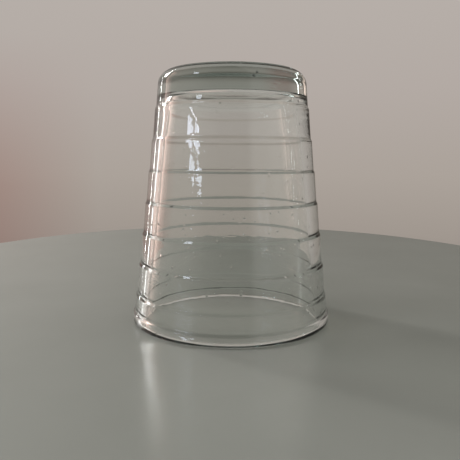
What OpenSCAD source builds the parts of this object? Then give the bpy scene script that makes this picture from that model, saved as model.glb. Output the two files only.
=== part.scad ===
// Ringed drinking glass, pressed from one gob of clear glass.
// It stands upside down, as a washed glass is put to dry: the rim rests on
// the table at z = 0, the thick foot is on top, and the z axis is the axis
// of the glass. The wall is a stack of slightly flared bands, and at every
// ring it steps outwards on its way down to the rim.

/* [Overall] */
// Height from the rim plane to the foot face
glass_h = 105.4; // [85:0.2:140]
// Largest diameter, over the lip
rim_d = 85; // [72:0.5:100]

/* [Wall] */
// Wall thickness at the rim, before the lip is rounded
rim_wall_t = 4.4; // [3:0.1:4.6]
// Wall thickness just above the lip
low_wall_t = 4.8; // [3.6:0.1:6.2]
// Wall thickness four fifths of the way up the cavity
high_wall_t = 4.4; // [3.4:0.1:6]
// Wall thickness beside the end of the cavity
foot_wall_t = 5.4; // [4.2:0.1:8]
// Rounding where the inner wall changes its slope
wall_blend_r = 60; // [20:5:150]
// Growth in radius of one band towards the rim, from ring to ring
band_flare = 1.08; // [0.4:0.02:1.8]

/* [Rings] */
// Distance from one ring to the next
ring_pitch = 13; // [9:0.5:20]
// Outward step of the wall at each ring
ring_step = 0.42; // [0.15:0.01:0.8]
// Height over which a ring makes its step
ring_fall = 1; // [0.5:0.1:2.5]
// Rounding of both edges of a ring
ring_edge_r = 0.9; // [0.2:0.1:2]
// Height of the lowest ring above the rim plane
lip_band_h = 12.3; // [8:0.1:18]
// Least height of the plain band beside the foot
foot_band_h = 14; // [9:0.5:22]

/* [Lip] */
// How far the lip stands out past the wall
lip_proud = 0.3; // [0.1:0.05:0.9]
// Height of the rounded lip
lip_h = 5.2; // [4.8:0.1:8]
// Width of the flat that the lip rests on
lip_land_w = 0.4; // [0.2:0.05:0.8]

/* [Foot] */
// Glass between the cavity and the foot face, on the axis
base_t = 9.4; // [6:0.1:14]
// Rounding of the outer edge of the foot
foot_corner_r = 6; // [2:0.25:8]
// Width of the flat ring that the upright glass stands on
foot_ring_w = 6; // [3:0.5:10]
// Depth of the shallow hollow inside the foot ring
foot_hollow_h = 0.8; // [0.3:0.1:1.8]

/* [Cavity] */
// Rounding between the cavity's side and its end
cavity_corner_r = 2.5; // [1:0.25:8]
// Crown radius of the cavity's end, a large radius is nearly flat
cavity_crown_r = 300; // [120:10:600]

/* [Hidden] */

// Facets of the full turn
turn_fn = 180;
// Straight stretches in one rounding of an edge, and in one wide arc
edge_stretches = 6;
wide_stretches = 16;
// Share of a side that one rounding may use up
side_use_share = 0.49;
// Height of the lip's upright side, as a share of its rounding
lip_side_share = 2.05;
// Heights of the two wall thicknesses in between, as shares of the cavity
low_share = 0.06;
high_share = 0.8;
// Rings start to count half a pitch early in the mean of the stepped wall
mean_share = 0.5;

// Taper of a band, radius lost for each length of height
band_taper = band_flare / ring_pitch;
// Radius of the plain wall where it would meet the rim plane
wall_r = rim_d / 2 - lip_proud;
ring_count = 1 + floor((glass_h - foot_band_h - lip_band_h) / ring_pitch);
foot_r = outer_r(glass_h, ring_count);

// The cavity's side runs through four wall thicknesses, as [radius, height]
cavity_end_z = glass_h - base_t;
rim_point = [wall_r - rim_wall_t, 0];
low_point = [mean_r(cavity_end_z * low_share) - low_wall_t, cavity_end_z * low_share];
high_point = [mean_r(cavity_end_z * high_share) - high_wall_t, cavity_end_z * high_share];
end_point = [outer_r(cavity_end_z, ring_count) - foot_wall_t, cavity_end_z];

// Beside the foot the side is a straight cone
cavity_taper = (high_point[0] - end_point[0]) / (end_point[1] - high_point[1]);
cavity_slant = sqrt(1 + cavity_taper * cavity_taper);

// The lip is as round as its thickness allows
lip_r = (rim_d / 2 - rim_point[0] - lip_land_w) / 2;

// Radius of the outer wall at a height, past a number of rings
function outer_r(z, rings) = wall_r - band_taper * z - ring_step * rings;

// Radius of the stepped wall at a height, with its steps evened out
function mean_r(z) = outer_r(z, max(0, (z - lip_band_h) / ring_pitch + mean_share));

// Height of a ring, counted up from the rim
function ring_z(k) = lip_band_h + k * ring_pitch;

function arc(centre, r, from, to, stretches) = [
    for (i = [0:stretches])
        let (a = from + (to - from) * i / stretches)
            centre + r * [cos(a), sin(a)]
];

// Turn from one direction to another, the short way round
function turn(from, to) =
    to - from > 180 ? to - from - 360 :
    to - from < -180 ? to - from + 360 : to - from;

// A corner of the outline, at b between a and c, rounded with radius r
function rounded(a, b, c, r) =
    let (
        u = (a - b) / norm(a - b),
        v = (c - b) / norm(c - b),
        half = acos(u * v) / 2,
        room = side_use_share * min(norm(a - b), norm(c - b)),
        use = min(r, room * tan(half)),
        centre = b + (u + v) / norm(u + v) * use / sin(half),
        first = b + u * use / tan(half) - centre,
        last = b + v * use / tan(half) - centre,
        from = atan2(first[1], first[0]),
        to = atan2(last[1], last[0])
    )
    arc(centre, use, from, from + turn(from, to), edge_stretches);

// Outside of the glass: corners as [radius, height, rounding]
outside = [
    [rim_point[0], 0, lip_r],
    [rim_d / 2, 0, lip_r],
    [rim_d / 2, lip_r * lip_side_share, lip_h],
    [outer_r(lip_h, 0), lip_h, lip_h],
    for (k = [0:ring_count - 1])
        each [
            [outer_r(ring_z(k) - ring_fall / 2, k), ring_z(k) - ring_fall / 2, ring_edge_r],
            [outer_r(ring_z(k) + ring_fall / 2, k + 1), ring_z(k) + ring_fall / 2, ring_edge_r]
        ],
    [foot_r, glass_h, foot_corner_r],
    [foot_r - foot_corner_r - foot_ring_w, glass_h, 0]
];

function corner_at(i) = [outside[i][0], outside[i][1]];

// The cavity's end is a crown arc about the axis that runs into a corner
// arc, and the corner arc touches the cavity's straight side
crown_z = cavity_end_z - cavity_crown_r;
arc_gap = cavity_crown_r - cavity_corner_r;
side_in = high_point[0] + cavity_taper * high_point[1] - cavity_corner_r * cavity_slant;
mid = side_in * cavity_taper + crown_z;
spread = mid * mid - cavity_slant * cavity_slant * (side_in * side_in + crown_z * crown_z - arc_gap * arc_gap);
corner_z = (mid + sqrt(spread)) / (cavity_slant * cavity_slant);
corner_r = side_in - cavity_taper * corner_z;
corner_turn = atan2(corner_z - crown_z, corner_r);
side_turn = atan(cavity_taper);
side_top = [corner_r, corner_z] + cavity_corner_r * [cos(side_turn), sin(side_turn)];

// The hollow in the foot is a shallow cap
hollow_r = foot_r - foot_corner_r - foot_ring_w;
cap_r = (hollow_r * hollow_r + foot_hollow_h * foot_hollow_h) / (2 * foot_hollow_h);
cap_turn = asin(hollow_r / cap_r);

outline = concat(
    arc([0, crown_z], cavity_crown_r, 90, corner_turn, wide_stretches),
    arc([corner_r, corner_z], cavity_corner_r, corner_turn, side_turn, wide_stretches),
    rounded(side_top, high_point, low_point, wall_blend_r),
    rounded(high_point, low_point, rim_point, wall_blend_r),
    rounded(low_point, corner_at(0), corner_at(1), lip_r),
    [for (i = [1:len(outside) - 2]) each rounded(corner_at(i - 1), corner_at(i), corner_at(i + 1), outside[i][2])],
    arc([0, glass_h + cap_r - foot_hollow_h], cap_r, cap_turn - 90, -90, wide_stretches)
);

// The whole glass is one piece: foot, wall and lip are one pressing
module tumbler() {
    color("#c9d1cb", 0.5)
        rotate_extrude($fn = turn_fn)
            polygon(outline);
}

tumbler();
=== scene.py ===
# %% [markdown]
# A ringed drinking glass, washed and put upside down on a table to dry.
# The real one is a single pressing of clear glass: a gob is dropped into a
# mould, a plunger shapes the inside, and a flame rounds the rim. This lesson
# turns one outline into that pressing, gives it the body colour and the
# faint waves of pressed glass, and lights it by a window and a pale wall.

# %% Load the frame from model.glb
import math
import bpy
import bmesh
from mathutils import Matrix, Vector


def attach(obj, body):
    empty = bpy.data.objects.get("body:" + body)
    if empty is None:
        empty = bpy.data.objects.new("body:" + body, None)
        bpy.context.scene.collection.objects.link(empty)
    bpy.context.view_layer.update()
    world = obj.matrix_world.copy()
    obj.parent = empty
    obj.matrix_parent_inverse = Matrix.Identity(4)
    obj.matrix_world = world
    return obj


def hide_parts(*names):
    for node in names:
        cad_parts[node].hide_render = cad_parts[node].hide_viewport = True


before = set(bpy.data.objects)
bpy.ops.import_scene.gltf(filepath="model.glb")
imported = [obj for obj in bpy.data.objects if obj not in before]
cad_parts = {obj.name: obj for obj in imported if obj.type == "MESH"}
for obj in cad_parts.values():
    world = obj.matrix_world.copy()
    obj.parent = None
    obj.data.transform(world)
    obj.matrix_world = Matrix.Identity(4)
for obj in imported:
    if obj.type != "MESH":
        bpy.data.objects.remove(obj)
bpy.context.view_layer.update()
mm = 0.001

# %% [markdown]
# The camera comes first, because every later choice is judged through it. It
# was fitted to the photograph: the ellipses of the foot, the rings and the
# rim give its height and tilt, and the glass's taper gives its distance. It
# stands close, about 23 cm from the axis, a little above the middle of the
# glass, and looks slightly down.

# %% Place the camera
camera_distance, camera_height = 232.6 * mm, 69.77 * mm
tilt_down, roll, turn = (math.radians(a) for a in (7.63, 0.32, 0.14))
image_side, focal_pixels, sensor = 460, 539.0, 36
nearest_seen = 10 * mm

lens = bpy.data.cameras.new("camera")
lens.sensor_width = sensor
lens.lens = focal_pixels / image_side * sensor
lens.clip_start = nearest_seen
camera = bpy.data.objects.new("camera", lens)
stand = Matrix.Translation((0, -camera_distance, camera_height))
aim = Matrix.Rotation(turn, 4, "Z") @ Matrix.Rotation(math.pi / 2 - tilt_down, 4, "X")
camera.matrix_world = stand @ aim @ Matrix.Rotation(roll, 4, "Z")
bpy.context.collection.objects.link(camera)
bpy.context.scene.camera = camera
print("lens %.1f mm" % lens.lens)

# %% [markdown]
# Every size of the glass is written once, in millimetres, with the same names
# as in the solid model, so the two can be compared line by line. The glass
# stands on its rim, so heights count up from the rim to the foot.

# %% Sizes of the glass, in millimetres
glass_h = 105.4
rim_d = 85.0
rim_wall_t = 4.4
low_wall_t = 4.8
high_wall_t = 4.4
foot_wall_t = 5.4
wall_blend_r = 60.0
band_flare = 1.08
ring_pitch = 13.0
ring_step = 0.42
ring_fall = 1.0
ring_edge_r = 0.9
lip_band_h = 12.3
foot_band_h = 14.0
lip_proud = 0.3
lip_h = 5.2
lip_land_w = 0.4
base_t = 9.4
foot_corner_r = 6.0
foot_ring_w = 6.0
foot_hollow_h = 0.8
cavity_corner_r = 2.5
cavity_crown_r = 300.0

# Shares of the cavity's height, of the lip's rounding, of a side and of a ring's pitch
low_share = 0.06
high_share = 0.8
lip_side_share = 2.05
side_use_share = 0.49
mean_share = 0.5

# %% [markdown]
# Three short functions say how the wall runs. The mould's wall loses a little
# radius all the way up and a small step at each ring. The plunger is smooth,
# so the inner wall follows the same wall with its steps evened out.

# %% How the wall runs
wall_r = rim_d / 2 - lip_proud
ring_count = 1 + int((glass_h - foot_band_h - lip_band_h) // ring_pitch)
cavity_end_z = glass_h - base_t


def outer_r(z, rings):
    """Radius of the outer wall at a height, past a number of rings."""
    return wall_r - band_flare / ring_pitch * z - ring_step * rings


def mean_r(z):
    """The same with the steps evened out, for the smooth inner wall."""
    return outer_r(z, max(0.0, (z - lip_band_h) / ring_pitch + mean_share))


def ring_z(k):
    """Height of a ring, counted up from the rim."""
    return lip_band_h + k * ring_pitch


print("%d rings, foot %.1f mm across" % (ring_count, 2 * outer_r(glass_h, ring_count)))

# %% [markdown]
# The glass is a body of revolution, so half of its section says everything.
# The section could be drawn point by point, but a glassmaker's mould is
# turned from straight cuts and rounded corners, and the section is built the
# same way: a vertex is spun into each wide arc, straight edges join a few
# corners, and the bevel operator rounds each corner with its own radius.

# %% Two helpers for the section
def swing(section, vertex, centre, degrees, steps):
    """Spin the last vertex about a centre in the section, which draws an arc."""
    drawn = bmesh.ops.spin(section, geom=[vertex], cent=(centre[0], 0, centre[1]), axis=(0, 1, 0),
                           angle=math.radians(degrees), steps=steps)
    return drawn["geom_last"][0]


def round_corner(section, vertex, radius, segments):
    """Bevel one corner of the section to a radius, as far as its sides allow."""
    sides = [edge.other_vert(vertex).co - vertex.co for edge in vertex.link_edges]
    half = sides[0].angle(sides[1]) / 2
    reach = min(radius / math.tan(half), side_use_share * min(side.length for side in sides))
    bmesh.ops.bevel(section, geom=[vertex], offset=reach, offset_type="OFFSET", segments=segments,
                    profile=0.5, affect="VERTICES", material=-1)


# %% [markdown]
# The inside starts on the axis, at the closed end of the cavity. The plunger
# leaves an almost flat end with a rounded corner, then a side whose glass is
# 4 to 5 mm thick and a little thicker beside the foot. The inside can't be
# measured in a photograph, but its slope decides where the lines that are
# seen through the wall fall, so the thicknesses were tried until those lines
# lay close to the photograph's.

# %% Where the inside runs
rim_in = (wall_r - rim_wall_t, 0.0)
low_in = (mean_r(cavity_end_z * low_share) - low_wall_t, cavity_end_z * low_share)
high_in = (mean_r(cavity_end_z * high_share) - high_wall_t, cavity_end_z * high_share)
end_in = (outer_r(cavity_end_z, ring_count) - foot_wall_t, cavity_end_z)
cavity_taper = (high_in[0] - end_in[0]) / (end_in[1] - high_in[1])
slant = math.hypot(1, cavity_taper)

# The end's crown touches the corner arc, and the corner arc touches the side
crown_z = cavity_end_z - cavity_crown_r
arc_gap = cavity_crown_r - cavity_corner_r
side_in = high_in[0] + cavity_taper * high_in[1] - cavity_corner_r * slant
middle = side_in * cavity_taper + crown_z
spread = middle ** 2 - slant ** 2 * (side_in ** 2 + crown_z ** 2 - arc_gap ** 2)
corner_z = (middle + math.sqrt(spread)) / slant ** 2
corner_r = side_in - cavity_taper * corner_z
corner_turn = math.degrees(math.atan2(corner_z - crown_z, corner_r))
side_turn = math.degrees(math.atan(cavity_taper))
print("cavity %.1f mm deep, flat end %.1f mm across" % (cavity_end_z, 2 * corner_r))

# %% Draw the closed end of the cavity
wide_steps, corner_steps = 12, 14

section = bmesh.new()
last = section.verts.new((0, 0, cavity_end_z))
last = swing(section, last, (0, crown_z), 90 - corner_turn, wide_steps)
last = swing(section, last, (corner_r, corner_z), corner_turn - side_turn, corner_steps)
print("closed end of %d points" % len(section.verts))

# %% [markdown]
# The outside follows: the rounded lip, seven flared bands that each end in a
# soft step, the plain band beside the foot and the foot's big corner. The
# shallow hollow under the foot, on top here, keeps the upright glass from
# rocking, and ends the section on the axis.

# %% List the corners, as radius, height, rounding and segments
wall_segments, lip_segments, blend_segments, ring_segments = 10, 8, 6, 4
lip_r = (rim_d / 2 - rim_in[0] - lip_land_w) / 2
foot_r = outer_r(glass_h, ring_count)
hollow_r = foot_r - foot_corner_r - foot_ring_w

corners = [(*high_in, wall_blend_r, wall_segments),
           (*low_in, wall_blend_r, wall_segments),
           (*rim_in, lip_r, lip_segments),
           (rim_d / 2, 0, lip_r, lip_segments),
           (rim_d / 2, lip_r * lip_side_share, lip_h, blend_segments),
           (outer_r(lip_h, 0), lip_h, lip_h, blend_segments)]
for k in range(ring_count):
    below, above = ring_z(k) - ring_fall / 2, ring_z(k) + ring_fall / 2
    corners.append((outer_r(below, k), below, ring_edge_r, ring_segments))
    corners.append((outer_r(above, k + 1), above, ring_edge_r, ring_segments))
corners.append((foot_r, glass_h, foot_corner_r, corner_steps))
corners.append((hollow_r, glass_h, 0, 0))
print("%d corners, lip rounded to %.2f mm" % (len(corners), lip_r))

# %% Draw the outside and round its corners
cap_r = (hollow_r ** 2 + foot_hollow_h ** 2) / (2 * foot_hollow_h)
cap_turn = math.degrees(math.asin(hollow_r / cap_r))

sharp = []
for r, z, radius, segments in corners:
    vertex = section.verts.new((r, 0, z))
    section.edges.new((last, vertex))
    if radius:
        sharp.append((vertex, radius, segments))
    last = vertex
last = swing(section, last, (0, glass_h - foot_hollow_h + cap_r), cap_turn, wide_steps)
last.co.x = 0
for vertex, radius, segments in sharp:
    round_corner(section, vertex, radius, segments)
print("section of %d points" % len(section.verts))

# %% [markdown]
# Long straight stretches are cut into shorter ones before the spin. Smooth
# shading bends the light across the whole of a face beside a rounding, and
# in glass that shows as a lens, so the faces beside each rounding stay small.
# A Screw modifier could turn the section too. The spin operator merges its
# own seam, so the glass is one closed skin as soon as it is made.

# %% Spin the section into the glass
longest_edge, halvings, turn_steps = 1.6, 3, 288
merge_distance = 0.0001 * mm

for _ in range(halvings):
    long_edges = [edge for edge in section.edges if edge.calc_length() > longest_edge]
    bmesh.ops.subdivide_edges(section, edges=long_edges, cuts=1)
bmesh.ops.scale(section, vec=(mm, mm, mm), verts=section.verts[:])
bmesh.ops.spin(section, geom=section.verts[:] + section.edges[:], cent=(0, 0, 0), axis=(0, 0, 1),
               angle=2 * math.pi, steps=turn_steps, use_merge=True)
bmesh.ops.remove_doubles(section, verts=section.verts[:], dist=merge_distance)
bmesh.ops.recalc_face_normals(section, faces=section.faces[:])

pressing = bpy.data.meshes.new("tumbler_pressing")
section.to_mesh(pressing)
section.free()
pressing.polygons.foreach_set("use_smooth", [True] * len(pressing.polygons))
tumbler = bpy.data.objects.new("tumbler_pressing", pressing)
bpy.context.collection.objects.link(tumbler)
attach(tumbler, "root")
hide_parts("tumbler")
print("%d faces" % len(pressing.polygons))

# %% [markdown]
# Colours are written as sRGB hex values, as a paint chart gives them, and one
# function turns them to the linear numbers that the renderer adds up. A
# second function adds any node with its settings and its links.

# %% Helpers for every material
def linear(hex_colour):
    """The linear channels of an sRGB hex colour, with full alpha."""
    channels = [int(hex_colour[i:i + 2], 16) / 255 for i in (1, 3, 5)]
    return [c / 12.92 if c <= 0.04045 else ((c + 0.055) / 1.055) ** 2.4 for c in channels] + [1.0]


def node(tree, kind, settings=None, **inputs):
    """Add a node, set its properties, and set or link its inputs, by name or as _ and a number."""
    made = tree.nodes.new(kind)
    for name, value in (settings or {}).items():
        setattr(made, name, value)
    for name, value in inputs.items():
        socket = made.inputs[int(name[1:]) if name[1:].isdigit() else name.replace("_", " ")]
        if isinstance(value, bpy.types.NodeSocket):
            tree.links.new(value, socket)
        else:
            socket.default_value = value
    return made


def new_material(name):
    """A material with its node tree and its main shader."""
    material = bpy.data.materials.new(name)
    material.use_nodes = True
    return material, material.node_tree, material.node_tree.nodes["Principled BSDF"]


# %% [markdown]
# Pressed soda-lime glass. The flame leaves its skin perfectly glossy, so all
# that the eye gets is bent and mirrored light, the slight grey-green of the
# iron in the body, which shows only where the glass is thick, and very
# shallow waves where the hot glass chilled against the mould. The waves are
# a bump of up to 20 micrometres, long round the glass and short along it, as
# the mould's turning leaves them. Washing water dries into a few specks. Both
# could be modelled in the mesh, but a bump keeps the outline true and smooth.

# %% Make the skin of the glass
wave_length, wave_depth, wave_squeeze = 14 * mm, 0.02 * mm, 4.0
speck_spacing, speck_depth = 5 * mm, 0.1 * mm

pressed_glass, tree, skin = new_material("pressed_soda_lime_glass")
skin.inputs["Base Color"].default_value = linear("#fcfdfc")
skin.inputs["Roughness"].default_value = 0.0
skin.inputs["IOR"].default_value = 1.52
skin.inputs["Transmission Weight"].default_value = 1.0

place = node(tree, "ShaderNodeTexCoord")
stretch = node(tree, "ShaderNodeMapping", Vector=place.outputs["Object"], Scale=(1.0, 1.0, wave_squeeze))
chill = node(tree, "ShaderNodeTexNoise", Vector=stretch.outputs["Vector"], Scale=1 / wave_length, Detail=2.0)
waves = node(tree, "ShaderNodeBump", Height=chill.outputs["Fac"], Strength=1.0, Distance=wave_depth)

# A speck is highest at its middle and ends at 0.12 of the spacing, so it is about a millimetre across
drops = node(tree, "ShaderNodeTexVoronoi", Vector=place.outputs["Object"], Scale=1 / speck_spacing)
heap = node(tree, "ShaderNodeMapRange", Value=drops.outputs["Distance"],
            From_Min=0.02, From_Max=0.12, To_Min=1.0, To_Max=0.0)
specks = node(tree, "ShaderNodeBump", Height=heap.outputs["Result"], Strength=1.0,
              Distance=speck_depth, Normal=waves.outputs["Normal"])
tree.links.new(specks.outputs["Normal"], skin.inputs["Normal"])
print("waves %.0f micrometres deep" % (wave_depth / mm * 1000))

# %% [markdown]
# The body colour is an absorption, so it deepens by itself in the foot. Light
# that goes on to the table passes straight through, a little dimmed where it
# grazes the wall, as it does on the whole through real glass. Traced through
# both walls instead, it would leave a dark and grainy shadow.

# %% Fill the body of the glass
body_colour, body_density, thick = linear("#007c6c"), 10.5, 60 * mm

body = node(tree, "ShaderNodeVolumeAbsorption", Color=body_colour, Density=body_density)
finish = tree.nodes["Material Output"]
tree.links.new(body.outputs["Volume"], finish.inputs["Volume"])

path = node(tree, "ShaderNodeLightPath")
passing = node(tree, "ShaderNodeMath", {"operation": "MAXIMUM"},
               _0=path.outputs["Is Shadow Ray"], _1=path.outputs["Is Diffuse Ray"])
grazing = node(tree, "ShaderNodeLayerWeight", Blend=0.35)
dimmed = node(tree, "ShaderNodeMix", {"data_type": "RGBA"},
              _0=grazing.outputs["Facing"], _6=linear("#fcfcfa"), _7=linear("#8c8c8a"))
through = node(tree, "ShaderNodeBsdfTransparent", Color=dimmed.outputs["Result"])
either_way = node(tree, "ShaderNodeMixShader",
                  _0=passing.outputs["Value"], _1=skin.outputs["BSDF"], _2=through.outputs["BSDF"])
tree.links.new(either_way.outputs["Shader"], finish.inputs["Surface"])
tumbler.data.materials.append(pressed_glass)
kept = math.exp(-body_density * (1 - body_colour[1]) * thick)
print("body keeps %.0f%% of green light through %.0f mm" % (100 * kept, thick / mm))

# %% [markdown]
# The table is a smooth, pale, grey-green board with a rounded far edge. That
# edge matters, because the glass shows it again and again as dark lines
# between the rings. A disc scaled to an oval gives it, and the half of the
# disc that the camera doesn't see is spread sideways, as a table is longer
# than its rounded end.

# %% Shape the table
table_centre, table_half = 75 * mm, (219.4 * mm, 240.6 * mm)
spread_from, spread_gain, edge_points = 0.35, 1.1, 256

board = bmesh.new()
bmesh.ops.create_circle(board, cap_ends=True, segments=edge_points, radius=1.0)
bmesh.ops.scale(board, vec=(*table_half, 1), verts=board.verts[:])
for point in board.verts:
    if point.co.y < spread_from * table_half[1]:
        point.co.x *= 1 + spread_gain * (spread_from - point.co.y / table_half[1])
bmesh.ops.translate(board, vec=(0, table_centre, 0), verts=board.verts[:])
table_mesh = bpy.data.meshes.new("table_top")
board.to_mesh(table_mesh)
board.free()
table = bpy.data.objects.new("table_top", table_mesh)
bpy.context.collection.objects.link(table)
print("table %.0f by %.0f mm" % (2 * table_half[0] / mm, 2 * table_half[1] / mm))

# %% [markdown]
# Fibre board with a sprayed satin lacquer. The lacquer is smooth but not
# polished, so the eye gets a soft, stretched mirror image of the bright lines
# beside the glass's rim. A clear coat over a matt base would do as well, but
# one roughness on one shader gives the same streak. Spraying leaves the
# grey-green a little cloudy.

# %% Lacquer the table
cloud_size = 45 * mm

lacquer, tree, skin = new_material("satin_lacquered_board")
place = node(tree, "ShaderNodeTexCoord")
cloud = node(tree, "ShaderNodeTexNoise", Vector=place.outputs["Object"], Scale=1 / cloud_size, Detail=4.0)
tone = node(tree, "ShaderNodeMix", {"data_type": "RGBA"},
            _0=cloud.outputs["Fac"], _6=linear("#86877f"), _7=linear("#909189"))
tree.links.new(tone.outputs["Result"], skin.inputs["Base Color"])
skin.inputs["Roughness"].default_value = 0.23
table.data.materials.append(lacquer)
print("clouds of %.0f mm" % (cloud_size / mm))

# %% [markdown]
# The pale wall behind fills most of the picture, and the glass bends it into
# its own shape, so the wall is drawn by direction: warmer and darker low
# down, paler towards the top, and pinker low on the left. A sky texture or a
# backdrop plane could stand here too, but a world that is coloured by
# direction reaches every reflection and needs no size.

# %% Paint the wall
world = bpy.data.worlds.new("room")
bpy.context.scene.world = world
world.use_nodes = True
tree = world.node_tree
sky = tree.nodes["Background"]
direction = node(tree, "ShaderNodeTexCoord")
split = node(tree, "ShaderNodeSeparateXYZ", Vector=direction.outputs["Generated"])
across, ahead, up = split.outputs["X"], split.outputs["Y"], split.outputs["Z"]


def mark_ramp(ramp, bands):
    """Put sRGB colours at given places along a colour ramp."""
    ramp.elements.remove(ramp.elements[1])
    for number, (at, colour) in enumerate(bands):
        mark = ramp.elements[0] if number == 0 else ramp.elements.new(at)
        mark.position, mark.color = at, linear(colour)


wall_bands = [(0.0, "#7a736c"), (0.26, "#a0978f"), (0.42, "#aba29a"), (0.66, "#b3aaa4"), (1.0, "#b8b1ab")]
upwards = node(tree, "ShaderNodeMapRange", Value=up, From_Min=-0.30, From_Max=0.34)
plain_wall = node(tree, "ShaderNodeValToRGB", Fac=upwards.outputs["Result"])
mark_ramp(plain_wall.color_ramp, wall_bands)

leftwards = node(tree, "ShaderNodeMapRange", Value=across, From_Min=-0.24, From_Max=-0.40)
downwards = node(tree, "ShaderNodeMapRange", Value=up, From_Min=0.20, From_Max=-0.05)
low_left = node(tree, "ShaderNodeMath", {"operation": "MULTIPLY"},
                _0=leftwards.outputs["Result"], _1=downwards.outputs["Result"])
wall = node(tree, "ShaderNodeMix", {"data_type": "RGBA", "blend_type": "MULTIPLY"},
            _0=low_left.outputs["Value"], _6=plain_wall.outputs["Color"], _7=linear("#f0dcda"))
print("wall painted in %d bands" % len(wall_bands))

# %% [markdown]
# Round the sides and behind the camera lies the rest of the room, which is
# seen only as reflections. It is dark behind the camera, which keeps the
# middle of the glass clear, and pale at both sides, which puts a soft sheen
# on the glass's flanks. The colours run round the horizon, in degrees from
# straight behind the glass, with the right side positive.

# %% Paint the room round the horizon
room_bands = [(-180, "#2c2a28"), (-150, "#34312f"), (-120, "#aaa59f"), (-92, "#b4aca5"), (-78, "#cdbeb5"),
              (-66, "#e2ccc2"), (-56, "#dcc6bc"), (-44, "#c2b3ab"), (-30, "#b3aaa4"), (40, "#b3aaa4"),
              (66, "#b6b1aa"), (90, "#bbb7b0"), (112, "#dcd8d2"), (134, "#bab6b0"), (148, "#bcbab6"),
              (157, "#34312f"), (180, "#2c2a28")]
wall_ends, room_starts = math.radians(32), math.radians(46)

turned = node(tree, "ShaderNodeMath", {"operation": "ARCTAN2"}, _0=across, _1=ahead)
circle = node(tree, "ShaderNodeMapRange", Value=turned.outputs["Value"], From_Min=-math.pi, From_Max=math.pi)
walls_round = node(tree, "ShaderNodeValToRGB", Fac=circle.outputs["Result"])
mark_ramp(walls_round.color_ramp, [((degrees + 180) / 360, colour) for degrees, colour in room_bands])

# Below the table's height the room is painted darker: painted shade, for the wall and floor in the table's
# shadow.
shade_below_table = node(tree, "ShaderNodeMapRange", Value=up, From_Min=-0.02, From_Max=-0.16)
room = node(tree, "ShaderNodeMix", {"data_type": "RGBA"},
            _0=shade_below_table.outputs["Result"], _6=walls_round.outputs["Color"], _7=linear("#77746d"))
aside = node(tree, "ShaderNodeMath", {"operation": "ABSOLUTE"}, _0=turned.outputs["Value"])
past_wall = node(tree, "ShaderNodeMapRange", Value=aside.outputs["Value"],
                 From_Min=wall_ends, From_Max=room_starts)
around = node(tree, "ShaderNodeMix", {"data_type": "RGBA"},
              _0=past_wall.outputs["Result"], _6=wall.outputs["Result"], _7=room.outputs["Result"])
print("room painted in %d bands" % len(room_bands))

# %% [markdown]
# Who sees what is a matter of ray kinds. The camera, reflections and
# refractions see the painted wall and room. In the table's lacquer the wall's
# mirror image fades towards the right, away from the window, so purely
# mirrored rays that leave towards the wall are dimmed there. Plain surfaces
# are lit by an even soft grey instead, and the lamps make up the rest, so
# that their colours render about as they are written.

# %% Share the world out among the rays
seen = node(tree, "ShaderNodeLightPath")
mirrored = node(tree, "ShaderNodeMath", {"operation": "GREATER_THAN"},
                _0=seen.outputs["Is Glossy Ray"], _1=seen.outputs["Is Transmission Ray"])
to_wall = node(tree, "ShaderNodeMapRange", Value=ahead, From_Min=0.3, From_Max=0.7)
to_right = node(tree, "ShaderNodeMapRange", Value=across, From_Min=-0.45, From_Max=0.0)
off_table = node(tree, "ShaderNodeMath", {"operation": "MULTIPLY"},
                 _0=mirrored.outputs["Value"], _1=to_wall.outputs["Result"])
fading = node(tree, "ShaderNodeMath", {"operation": "MULTIPLY"},
              _0=off_table.outputs["Value"], _1=to_right.outputs["Result"])
faded = node(tree, "ShaderNodeMix", {"data_type": "RGBA", "blend_type": "MULTIPLY"},
             _0=fading.outputs["Value"], _6=around.outputs["Result"], _7=linear("#a0a09c"))

looking = node(tree, "ShaderNodeMath", {"operation": "MAXIMUM"},
               _0=seen.outputs["Is Camera Ray"], _1=seen.outputs["Is Glossy Ray"])
sharp_ray = node(tree, "ShaderNodeMath", {"operation": "MAXIMUM"},
                 _0=looking.outputs["Value"], _1=seen.outputs["Is Transmission Ray"])
shared_out = node(tree, "ShaderNodeMix", {"data_type": "RGBA"},
                  _0=sharp_ray.outputs["Value"], _6=linear("#c5c5c5"), _7=faded.outputs["Result"])
tree.links.new(shared_out.outputs["Result"], sky.inputs["Color"])
sky.inputs["Strength"].default_value = 1.0
print("world of %d nodes" % len(tree.nodes))

# %% [markdown]
# Soft lamps stand for the daylight, and each is placed where its mirror image
# falls in the glass. A window with two panes and a bright bar hangs to the
# left and a little in front, with more window above it. Behind on the left a
# narrow bright gap draws the two thin lines down the glass's left side, and a
# pinkish curtain in folds beside it gives the warm band next to the lines.
# A far window throws the shadow to the right. The side window only lights
# the table, so no reflection or refraction sees it. The windows could be
# painted on the world as well, but lamps also light the table as windows do.

# %% A helper that hangs a lamp
aimed_at = Vector((0, 0, 60 * mm))


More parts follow.
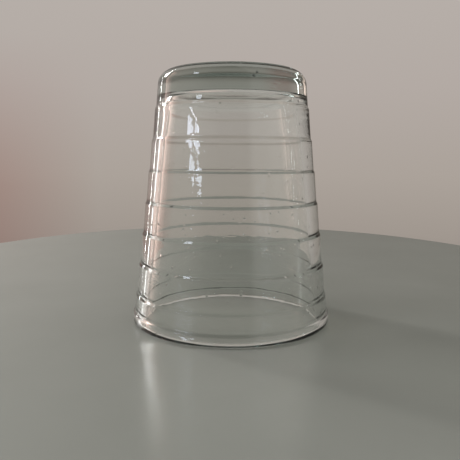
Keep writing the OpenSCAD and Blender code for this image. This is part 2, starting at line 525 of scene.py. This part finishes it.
def lamp(name, azimuth, distance, height, size, radiance, colour="#ffffff", roll=0.0):
    """A soft lamp that faces the glass, with its azimuth in degrees to the left of the camera."""
    light = bpy.data.lights.new(name, "AREA")
    light.shape = "RECTANGLE"
    light.size, light.size_y = size
    light.energy = radiance * math.pi * size[0] * size[1]
    light.color = linear(colour)[:3]
    angle = math.radians(azimuth)
    hung = bpy.data.objects.new(name, light)
    hung.location = (-distance * math.sin(angle), -distance * math.cos(angle), height)
    facing = (aimed_at - hung.location).to_track_quat("-Z", "Y").to_matrix()
    hung.rotation_euler = (facing @ Matrix.Rotation(math.radians(roll), 3, "Z")).to_euler()
    bpy.context.collection.objects.link(hung)
    print("%s, %.1f W" % (name, light.energy))
    return hung


# %% Hang the window, in metres
pane_light, sky_light = "#e2ecff", "#e8f0ff"
lamp("window_left_pane", azimuth=60.5, distance=2.0, height=0.450, size=(0.34, 0.100),
     radiance=10, colour=pane_light, roll=-7)
lamp("window_right_pane", azimuth=48.5, distance=2.0, height=0.441, size=(0.32, 0.088),
     radiance=10, colour=pane_light, roll=-7)
lamp("window_top", azimuth=55.0, distance=2.0, height=0.526, size=(0.6, 0.006),
     radiance=30, colour=sky_light, roll=-8)
lamp("window_above", azimuth=60.0, distance=2.0, height=1.29, size=(0.40, 0.28),
     radiance=9, colour=sky_light)

# %% Hang the gap and the curtain's folds, each dimmer than the last
fold_count, first_fold, fold_turn = 7, 117.4, 2.1
fold_radiance, fold_dimming, curtain_colour = 2.4, 0.76, "#ffdccf"
lamp("gap_behind", azimuth=135.0, distance=1.2, height=0.35, size=(0.012, 1.5), radiance=36)
for fold in range(fold_count):
    lamp("curtain_fold_%d" % fold, azimuth=first_fold - fold_turn * fold, distance=1.3, height=0.30,
         size=(0.05, 1.3), radiance=fold_radiance * fold_dimming ** fold, colour=curtain_colour)

# %% Hang the windows that light the table
lamp("far_window", azimuth=129.5, distance=1.5, height=0.80, size=(0.12, 0.30), radiance=78)
side = lamp("side_window", azimuth=97.0, distance=0.7, height=0.34, size=(0.36, 0.28), radiance=7.0)
side.visible_glossy = side.visible_transmission = False

# %% Set the view transform and finish
bpy.context.scene.view_settings.view_transform = "Standard"
bpy.context.view_layer.update()
